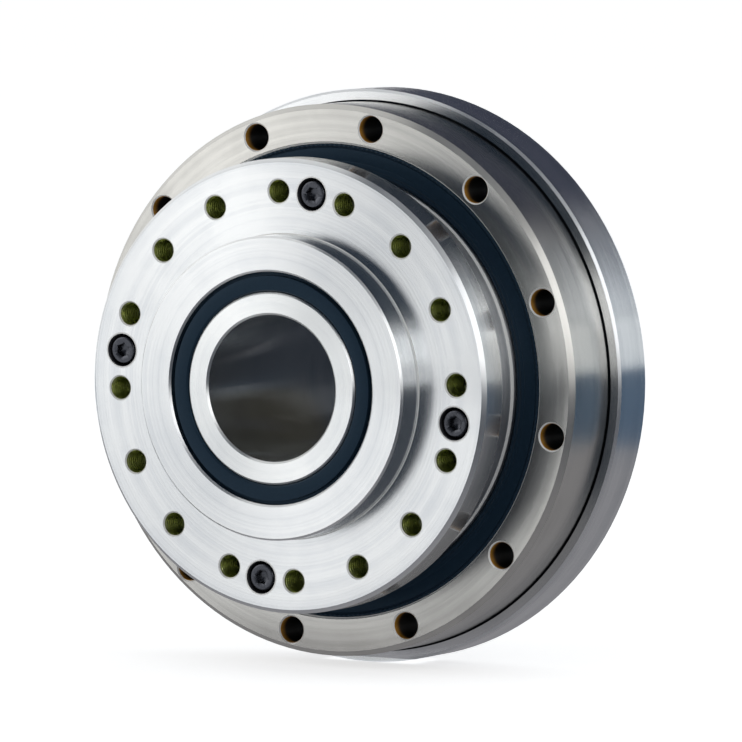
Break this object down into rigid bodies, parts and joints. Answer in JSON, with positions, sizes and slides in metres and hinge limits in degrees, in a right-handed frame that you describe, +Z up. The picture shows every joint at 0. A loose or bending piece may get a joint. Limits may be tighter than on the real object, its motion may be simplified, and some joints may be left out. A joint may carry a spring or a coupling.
{
  "type": "strain wave gear",
  "caption": "Hollow-shaft strain wave gear unit with crossed roller bearing, flanged output with boss, fixed ring with 12 holes, 51:1.",
  "frame": {"origin": "on the axis, in the plane of the front mounting face of the fixed ring", "axes": "-Y along the axis towards the output side, +Z up, +X to the right seen from the output side"},
  "size_m": [0.115, 0.0555, 0.115],
  "materials": {
    "turned_steel": "satin",
    "polished_steel": "gloss",
    "hardened_spline_steel": "satin",
    "flexspline_steel": "satin",
    "bearing_steel": "gloss",
    "nitrile_rubber": "satin",
    "black_oxide_screw_steel": "satin",
    "phosphated_spring_steel": "matte",
    "pressed_shield_steel": "satin",
    "machined_brass_cage": "satin",
    "cage_polyamide": "matte"
  },
  "bodies": {
    "housing": {"bearing_outer_ring": "turned_steel", "roller_plug": "bearing_steel", "plug_pin": "black_oxide_screw_steel", "main_seal": "nitrile_rubber", "flexspline": "flexspline_steel", "housing_oring": "nitrile_rubber", "cover_oring": "nitrile_rubber", "rear_cover": "turned_steel", "cover_screws": "black_oxide_screw_steel", "rear_bearing_outer_ring": "bearing_steel", "rear_bearing_shields": "pressed_shield_steel", "rear_bearing_circlip": "phosphated_spring_steel", "rear_oil_seal": "nitrile_rubber"},
    "output": {"output_flange": "turned_steel", "flange_screws": "black_oxide_screw_steel", "circular_spline": "hardened_spline_steel", "spline_screws": "black_oxide_screw_steel", "bearing_inner_ring": "bearing_steel", "front_oil_seal": "nitrile_rubber", "front_bearing_outer_ring": "bearing_steel", "front_bearing_shields": "pressed_shield_steel", "front_bearing_circlip": "phosphated_spring_steel"},
    "input_shaft": {"input_shaft": "polished_steel", "wave_inner_ring": "bearing_steel", "wave_balls": "bearing_steel", "wave_cage": "cage_polyamide", "wave_outer_ring": "bearing_steel", "wave_retaining_ring": "phosphated_spring_steel", "front_bearing_inner_ring": "bearing_steel", "rear_bearing_inner_ring": "bearing_steel"},
    "front_support_balls": {"front_bearing_balls": "bearing_steel", "front_bearing_cage": "machined_brass_cage"},
    "rear_support_balls": {"rear_bearing_balls": "bearing_steel", "rear_bearing_cage": "machined_brass_cage"},
    "crossed_roller_set": {"crossed_rollers": "bearing_steel", "roller_spacers": "cage_polyamide"}
  },
  "joints": [
    {"name": "input_spin", "type": "hinge", "parent": "housing", "child": "input_shaft", "pos_m": [0, 0, 0], "axis": [0, -1, 0], "continuous": true, "deforming": ["flexspline"]},
    {"name": "output_spin", "type": "hinge", "parent": "housing", "child": "output", "pos_m": [0, 0, 0], "axis": [0, -1, 0], "continuous": true},
    {"name": "front_balls_spin", "type": "hinge", "parent": "housing", "child": "front_support_balls", "pos_m": [0, 0, 0], "axis": [0, -1, 0], "continuous": true},
    {"name": "rear_balls_spin", "type": "hinge", "parent": "housing", "child": "rear_support_balls", "pos_m": [0, 0, 0], "axis": [0, -1, 0], "continuous": true},
    {"name": "rollers_spin", "type": "hinge", "parent": "housing", "child": "crossed_roller_set", "pos_m": [0, 0, 0], "axis": [0, -1, 0], "continuous": true}
  ],
  "couplings": [
    {"joint": "output_spin", "follows": "input_spin", "ratio": 0.019608},
    {"joint": "front_balls_spin", "follows": "input_spin", "ratio": 0.47174},
    {"joint": "rear_balls_spin", "follows": "input_spin", "ratio": 0.46117},
    {"joint": "rollers_spin", "follows": "input_spin", "ratio": 0.0093986}
  ]
}
